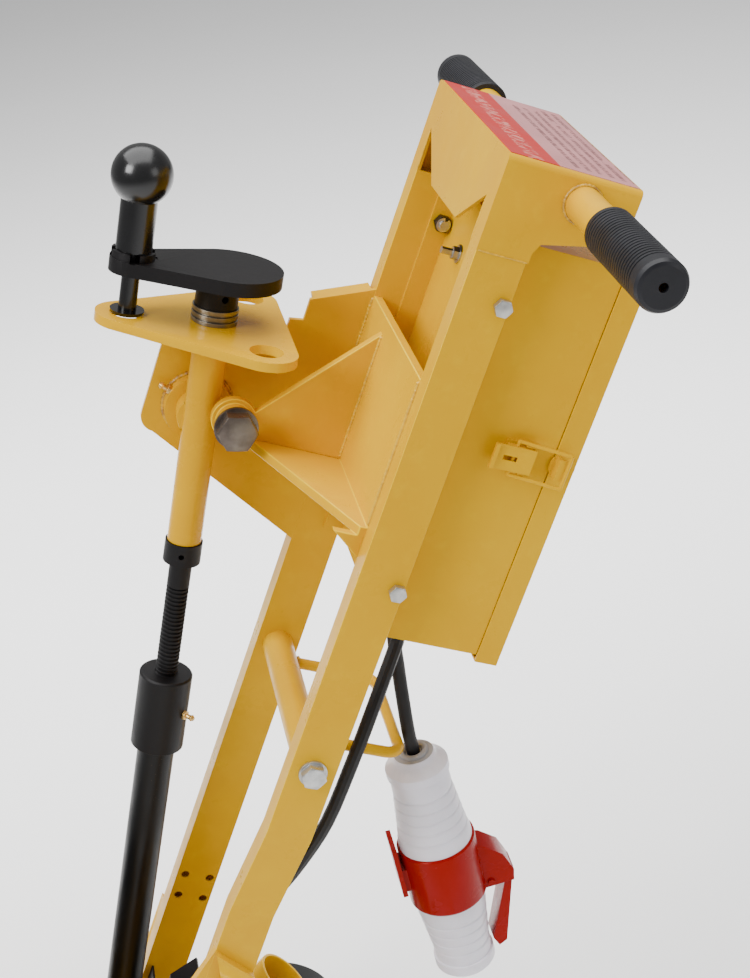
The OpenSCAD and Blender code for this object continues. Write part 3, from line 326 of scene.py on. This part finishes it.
M = {
    "yellow": paint("yellow_paint"),
    "yellow_jack": paint("yellow_paint_jack", rough=0.22, coat=0.08, grime=0.35),
    "yellow_low": paint("yellow_paint_low", rough=0.36, coat=0.08, grime=1.0),
    # the rounded edges in a lighter yellow, a painted highlight, with worn spots
    "edge": edge_highlight_paint("yellow_edge_highlight"),
    "weld": weld_paint("weld_painted", 0.15),
    "weld_rust": weld_paint("weld_rusty", 1.0),
    "black": black_paint("black_steel"),
    "black_tube": black_paint("black_tube", (0.0012, 0.0010, 0.0011), 0.34, 0.8),
    # lighter black on the rounded edges: a painted highlight, with more scuffs
    "black_edge_highlight": black_paint("black_edge_highlight", (0.014, 0.011, 0.010), 0.40, 1.0),
    "ball": plastic("ball_black", (0.003, 0.003, 0.0035), 0.22, 0.15, 0.10, dirty=(0.03, 0.028, 0.028)),
    "zinc": zinc("zinc_plate"),
    "steel": zinc("worn_steel", (0.28, 0.27, 0.26), 0.05),
    "bolt_dark": zinc("bolt_dark", (0.15, 0.12, 0.10), 0.1),
    "bearing": zinc("bearing_steel", (0.30, 0.27, 0.22)),
    "brass": brass("brass"),
    "grip": rubber("grip_rubber", (0.0060, 0.0062, 0.0085), 0.42),
    "cable": rubber("cable_rubber", (0.0045, 0.0038, 0.0038), 0.50, 700),
    "tyre": rubber("tyre_rubber", (0.010, 0.010, 0.010), 0.72, 380),
    "nylock": plastic("nut_black", (0.004, 0.004, 0.004), 0.4),
    "white": plastic("plug_white", (0.86, 0.83, 0.90), 0.34, 0.1, 0.16, 0.05),
    "gland": plastic("plug_gland", (0.40, 0.40, 0.42), 0.5, 0.0, 0.3),
    "red": plastic("plug_red", (0.30, 0.002, 0.0015), 0.22, 0.0, 0.08, 0.0, (0.12, 0.005, 0.004), 0.30,
                   (1, 0.25, 0.2)),
    "green": plastic("button_green", (0.02, 0.30, 0.06), 0.25, 0.3, 0.1),
    "stop": plastic("button_red", (0.60, 0.012, 0.010), 0.25, 0.3, 0.1),
    "gear": plastic("gear_grey", (0.07, 0.075, 0.08), 0.45, 0.0, 0.3),
    "gear_pale": plastic("gear_pale", (0.36, 0.37, 0.37), 0.45, 0.0, 0.3),
    "motor": cast_grey("motor_grey"),
    "wheel": cast_grey("wheel_grey", (0.20, 0.20, 0.20)),
    "panel": panel_print("panel_print"),
}


# ---- CAD shapes with rounded edges ----
def link(o):
    bpy.context.scene.collection.objects.link(o)
    return o


SHARP = math.radians(32)


def finish_mesh(me, angle):
    """Smooth shading, with edges over the angle kept sharp."""
    for p in me.polygons:
        p.use_smooth = True
    me.set_sharp_from_angle(angle=angle)


def cleaned(node):
    """The node's mesh with its triangles joined into flat faces."""
    bm = bmesh.new()
    bm.from_mesh(NODES[node].data)
    bmesh.ops.remove_doubles(bm, verts=bm.verts, dist=2e-6)
    bmesh.ops.dissolve_limit(bm, angle_limit=math.radians(0.4), verts=bm.verts, edges=bm.edges,
                             use_dissolve_boundaries=False)
    bmesh.ops.recalc_face_normals(bm, faces=bm.faces)
    return bm


def rounded(node, mat, width, segments, edge=None, big=None, big_width=0.0, pick=None):
    """Stands for a CAD node: the same shape with its edges rounded, width in mm.

    big picks the edges, by their two ends in the handle frame, that get big_width. pick limits the rest.
    edge is the finish on the rounded edges, lighter there as a painted highlight."""
    bm = cleaned(node)
    if big:
        chosen = [e for e in bm.edges if len(e.link_faces) == 2 and e.calc_face_angle(0) > 0.5
                  and big(to_handle(e.verts[0].co), to_handle(e.verts[1].co))]
        if chosen:
            bmesh.ops.bevel(bm, geom=chosen, offset=big_width * MM, offset_type="OFFSET", segments=4,
                            profile=0.5, affect="EDGES", clamp_overlap=True)
    layer = bm.edges.layers.float.new("bevel_weight_edge")
    for e in bm.edges:
        sharp = len(e.link_faces) == 2 and e.calc_face_angle(0) > SHARP
        if sharp and (pick is None or pick(e)):
            e[layer] = 1.0
    me = bpy.data.meshes.new(node + "_shape")
    bm.to_mesh(me)
    bm.free()
    me.materials.append(M[mat])
    if edge:
        me.materials.append(M[edge])
    finish_mesh(me, SHARP)
    o = link(bpy.data.objects.new(node + "_look", me))
    b = o.modifiers.new("round", "BEVEL")
    b.limit_method = "WEIGHT"
    b.width = width * MM
    b.segments = segments
    b.use_clamp_overlap = True
    b.harden_normals = False
    b.miter_outer = "MITER_ARC"
    if edge:
        b.material = 1
    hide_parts(node)
    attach(o, BODY[node])
    return o


PLUG_TOP = hp(129, -40, -543)
PLUG_AXIS = Vector((math.sin(math.radians(4)), 0, -math.cos(math.radians(4))))


def refinish(o, mat, inside):
    """Gives the faces whose centre passes inside another finish."""
    o.data.materials.append(M[mat])
    index = len(o.data.materials) - 1
    for p in o.data.polygons:
        if inside(p.center):
            p.material_index = index


def keep(node, mat):
    """A CAD node whose shape is right already."""
    o = NODES[node]
    o.data.materials.clear()
    o.data.materials.append(M[mat])
    finish_mesh(o.data, SHARP)


def long_edge(least):
    return lambda e: e.calc_length() > least * MM


rounded("leg_near", "yellow", 1.9, 3, "edge", pick=long_edge(60))
rounded("leg_far", "yellow", 1.9, 3, "edge", pick=long_edge(60))


def head_bends(a, b):
    """The head's two folded edges, across its front and its rear."""
    long_across = abs(a.y - b.y) > 150 and abs(a.z - b.z) < 1
    return long_across and a.z > -1 and (a.x < 1 or a.x > 107)


rounded("head_cap", "yellow", 0.8, 2, "edge", big=head_bends, big_width=2.6)
keep("head_panel", "panel")
keep("handlebar", "yellow")
for n in ("grip_near", "grip_far"):
    keep(n, "grip")
rounded("box_channel", "yellow", 1.0, 2, "edge")
rounded("box_body", "yellow", 0.9, 2, "edge")
rounded("box_lid", "yellow", 0.9, 2, "edge")
rounded("box_gear", "gear", 0.8, 2)
for n in ("latch_base", "latch_lever", "lid_keeper"):
    rounded(n, "yellow", 0.25, 2, "edge")
keep("latch_bail", "yellow")
keep("lid_hinge_pin", "zinc")
bolts = rounded("handle_bolts", "zinc", 0.25, 2)


def nylock(p):
    """The nuts on the handle bolts, inside the legs, without the bolts' own ends."""
    h = to_handle(p)
    off = math.hypot(h.x - BOLT_X, min((h.z + s for s in BOLT_S), key=abs))
    return abs(h.y) < 91.9 and 4.6 < off < 9


refinish(bolts, "nylock", nylock)
steady = rounded("steady_bolt", "bolt_dark", 0.4, 2)
refinish(steady, "yellow", lambda p: p.y > 0.042)
keep("cross_tube", "yellow")
keep("cable_hook", "yellow")
rounded("bracket_far_plate", "yellow", 0.8, 2, "edge")
rounded("bracket_web", "yellow", 0.8, 2, "edge")
rounded("bracket_gusset", "yellow", 0.8, 2, "edge")
boss = rounded("trunnion_boss", "yellow", 0.5, 2)


def boss_nipple(p):
    """The grease nipple, outside the boss's own radius."""
    h = to_handle(p)
    return math.hypot(h.x - TRUNNION_X, h.z + TRUNNION_S) > 29.3


refinish(boss, "brass", boss_nipple)
rounded("glands", "gear", 0.4, 2)
rounded("lugs", "yellow_low", 0.8, 2, "edge")
rounded("deck", "yellow_low", 1.0, 2, "edge")
rounded("side_plate_near", "yellow_low", 1.0, 2, "edge")
rounded("side_plate_far", "yellow_low", 1.0, 2, "edge")
rounded("skids", "black", 1.0, 2, "black_edge_highlight")
rounded("linkage_cover", "black", 0.8, 2, "black_edge_highlight")
rounded("dust_pipe", "yellow_low", 0.6, 2, "edge")
rounded("drum_bearings", "wheel", 0.8, 2)
rounded("motor", "motor", 0.8, 2)
keep("belt", "cable")
rounded("belt_guard", "yellow_low", 0.9, 2, "edge")
keep("motor_cable", "cable")
rounded("start_button", "green", 0.8, 3)
rounded("stop_button", "stop", 0.8, 3)
rounded("jack_tube", "yellow_jack", 0.5, 2)
rounded("index_plate", "yellow_jack", 1.0, 3, "edge")
rounded("jack_collar", "black", 0.8, 2)
rounded("crank", "black", 0.9, 3, "black_edge_highlight")
rounded("thrust_bearing", "bearing", 0.4, 2)
keep("jack_screw", "black")
keep("plunger", "ball")
nut = rounded("jack_nut", "black", 1.0, 3)
refinish(nut, "brass", lambda p: (Vector(p) - JACK).cross(JZ).length > 0.0247)
rounded("lower_tube", "black_tube", 0.8, 2)
rounded("swing_arm", "black", 1.0, 2)
for n in ("wheel_near", "wheel_far"):
    rounded(n, "wheel", 1.0, 2)
for n in ("tyre_near", "tyre_far"):
    keep(n, "tyre")
rounded("drum", "steel", 0.8, 2)
rounded("drum_cutters", "steel", 0.5, 1)
rounded("motor_pulley", "steel", 0.8, 2)
plug = rounded("plug_body", "white", 0.6, 3)
refinish(plug, "gland", lambda p: (p - PLUG_TOP).dot(PLUG_AXIS) < 0.0012 and (p - PLUG_TOP).length < 0.017)
rounded("plug_ring", "red", 0.7, 3)
rounded("plug_connector", "white", 0.6, 3)


# ---- the free cord ----
def curve_through(points, radius, name, mat, body):
    """A round smooth tube through points in metres."""
    c = bpy.data.curves.new(name, "CURVE")
    c.dimensions = "3D"
    c.bevel_depth = radius
    c.bevel_resolution = 6
    c.resolution_u = 12
    s = c.splines.new("BEZIER")
    s.bezier_points.add(len(points) - 1)
    for p, co in zip(s.bezier_points, points):
        p.co = co
        p.handle_left_type = p.handle_right_type = "AUTO"
    c.use_fill_caps = True
    c.materials.append(M[mat])
    o = link(bpy.data.objects.new(name, c))
    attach(o, body)
    return o


# the cable runs on inside the coupler
pig_points = [hp(*p) for p in ((72, -24, -413), (77, -25, -436), (92, -29, -470), (105, -35, -498),
                               (119, -40, -526.4), (129, -40, -543))]
pig_points += [pig_points[-1] + PLUG_AXIS * d for d in (0.03, 0.07, 0.11)]
pigtail = curve_through(pig_points, 0.006, "pigtail_cable", "cable", "frame")
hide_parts("pigtail")

# ---- weld beads ----
rand = random.Random(7)


def bead(points, name, body, mat="weld", radius=2.2, closed=False, ripple=1.0):
    """A rippled bead along points in metres."""
    pts = [Vector(p) for p in points]
    dense = []
    for a, b in zip(pts, pts[1:] + ([pts[0]] if closed else [])):
        n = max(1, round((b - a).length / 0.0012))
        dense += [a.lerp(b, i / n) for i in range(n)]
    if not closed:
        dense.append(pts[-1])
    bm = bmesh.new()
    rings = []
    m = len(dense)
    for i, p in enumerate(dense):
        before = dense[(i - 1) % m] if closed or i else p
        after = dense[(i + 1) % m] if closed or i < m - 1 else p
        d = (after - before).normalized()
        side = d.cross(Vector((0.31, 0.22, 0.92))).normalized()
        top = side.cross(d).normalized()
        r = radius * MM * (1 + ripple * (0.13 * math.sin(i * 2.1) + rand.uniform(-0.07, 0.07)))
        if not closed and i in (0, m - 1):
            r *= 0.35
        off = (side * rand.uniform(-0.08, 0.08) + top * rand.uniform(-0.08, 0.08)) * r * ripple
        spokes = [side * (r * math.cos(k * math.pi / 4)) + top * (r * math.sin(k * math.pi / 4))
                  for k in range(8)]
        rings.append([bm.verts.new(p + off + spoke) for spoke in spokes])
    pairs = list(zip(rings, rings[1:] + ([rings[0]] if closed else [])))
    for r0, r1 in pairs:
        for k in range(8):
            bm.faces.new((r0[k], r0[(k + 1) % 8], r1[(k + 1) % 8], r1[k]))
    if not closed:
        bm.faces.new(rings[0][::-1])
        bm.faces.new(rings[-1])
    bmesh.ops.recalc_face_normals(bm, faces=bm.faces)
    me = bpy.data.meshes.new(name)
    bm.to_mesh(me)
    bm.free()
    me.materials.append(M[mat])
    finish_mesh(me, math.radians(60))
    o = link(bpy.data.objects.new(name, me))
    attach(o, body)
    return o


def ring_points(centre, axis, radius, count=48):
    """Points in metres round a circle, its radius in mm."""
    axis = Vector(axis).normalized()
    u = axis.orthogonal().normalized()
    v = axis.cross(u)
    turns = [2 * math.pi * i / count for i in range(count)]
    return [centre + (u * math.cos(a) + v * math.sin(a)) * radius * MM for a in turns]


for side, tag in ((-1, "near"), (1, "far")):
    bar = ring_points(hp(66, side * (HALF_HEAD + 0.3), -21), (0, 1, 0), 14.6)
    bead(bar, "weld_bar_" + tag, "frame", "weld_rust", 1.5, closed=True)
    y = side * (HALF_HEAD - 0.1)
    bead([hp(1.5, y, -74), hp(41, y, -74)], "weld_head_" + tag, "frame", "weld", 0.8)
    y = side * (LEG_INNER + 0.5)
    bead([hp(0.4, y, -40), hp(0.4, y, -73)], "weld_apron_" + tag, "frame", "weld", 0.9)
collar = ring_points(PLUG_TOP, PLUG_AXIS, 10.5)
bead(collar, "plug_gland_collar", "frame", "gland", 3.2, closed=True, ripple=0.0)
boss_ring = ring_points(hp(TRUNNION_X, LEG_INNER - 0.4, -TRUNNION_S), (0, 1, 0), 29.4)
bead(boss_ring, "weld_boss", "frame", "weld_rust", 2.4, closed=True)
bead(ring_points(jp(0, 0, 87.6), JZ, 15.4), "weld_jack_top", "column", "weld", 1.6, closed=True)
bead(ring_points(jp(0, 19, 0), (0, 1, 0), 18), "weld_jack_pin", "column", "weld", 1.2, closed=True)
for side, tag in ((1, "far"), (-1, "near")):
    y = side * (LEG_INNER - 0.6)
    bead([hp(-0.2, y, -190), hp(-0.2, y, -316)], "weld_web_" + tag, "frame", "weld", 1.8)
bead([hp(-0.3, 35.2, -203), hp(-0.3, 35.2, -316)], "weld_gusset_front", "frame", "weld", 1.8)
for y in (-67, 60):
    rod = ring_points(hp(33, y, -532), HX, 5.4, 24)
    bead(rod, f"weld_hook_{y + 100}", "frame", "weld_rust", 1.1, closed=True)

# ---- floor and light ----
bpy.ops.mesh.primitive_plane_add(size=14, location=(0, 0, -0.0005))
floor = bpy.context.object
floor.name = "floor"
t = Tree("floor_pale")
t.set(Base_Color=t.mix(t.noise(2.0, 3), (0.93, 0.93, 0.93), (0.96, 0.96, 0.96)), Roughness=0.85)
floor.data.materials.append(t.mat)

world = bpy.data.worlds.new("studio")
bpy.context.scene.world = world
world.use_nodes = True
world.node_tree.nodes["Background"].inputs[0].default_value = (1, 1, 1, 1)
world.node_tree.nodes["Background"].inputs[1].default_value = 0.42


def area(name, place, aim, size, power):
    """A soft rectangular light, aimed at a point."""
    d = bpy.data.lights.new(name, "AREA")
    d.shape = "RECTANGLE"
    d.size, d.size_y = size
    d.energy = power
    o = bpy.data.objects.new(name, d)
    link(o)
    o.location = place
    o.rotation_mode = "QUATERNION"
    o.rotation_quaternion = (Vector(aim) - Vector(place)).to_track_quat("-Z", "Y")


area("key", (-1.9, -1.3, 2.9), (0.15, 0, 0.8), (1.3, 1.3), 78)
area("top", (0.2, 0.6, 3.6), (0.1, 0.6, 0.0), (4.0, 4.0), 200)
area("floor_glow", (0.2, 1.3, 1.8), (0.2, 2.8, 0.0), (3.0, 1.2), 80)
area("fill", (2.2, -1.8, 1.6), (0.2, 0, 0.8), (1.2, 1.2), 10)
